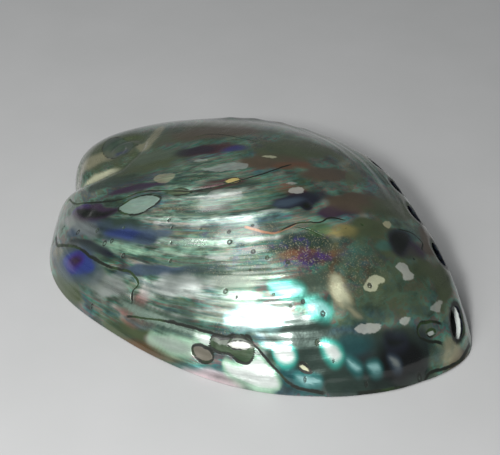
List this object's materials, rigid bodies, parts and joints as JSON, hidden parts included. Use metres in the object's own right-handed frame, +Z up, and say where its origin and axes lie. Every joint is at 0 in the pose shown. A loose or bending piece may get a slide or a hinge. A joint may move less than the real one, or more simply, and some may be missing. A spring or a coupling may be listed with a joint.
{
  "type": "abalone shell",
  "caption": "Ear-shaped polished abalone shell with a low spire, a row of breathing holes and a hollow underside, lying on its rim.",
  "frame": {"origin": "under the middle of the shell's box, on the surface that its rim rests on", "axes": "+X along the shell to its growing front end, +Y to the side with the breathing holes, +Z up out of the domed outside"},
  "size_m": [0.1401, 0.0979, 0.036],
  "materials": {
    "polished_shell": "polished iridescent mother-of-pearl, grey-green with dark conchiolin lines"
  },
  "bodies": {
    "root": {"abalone_shell": "polished_shell"}
  },
  "joints": []
}
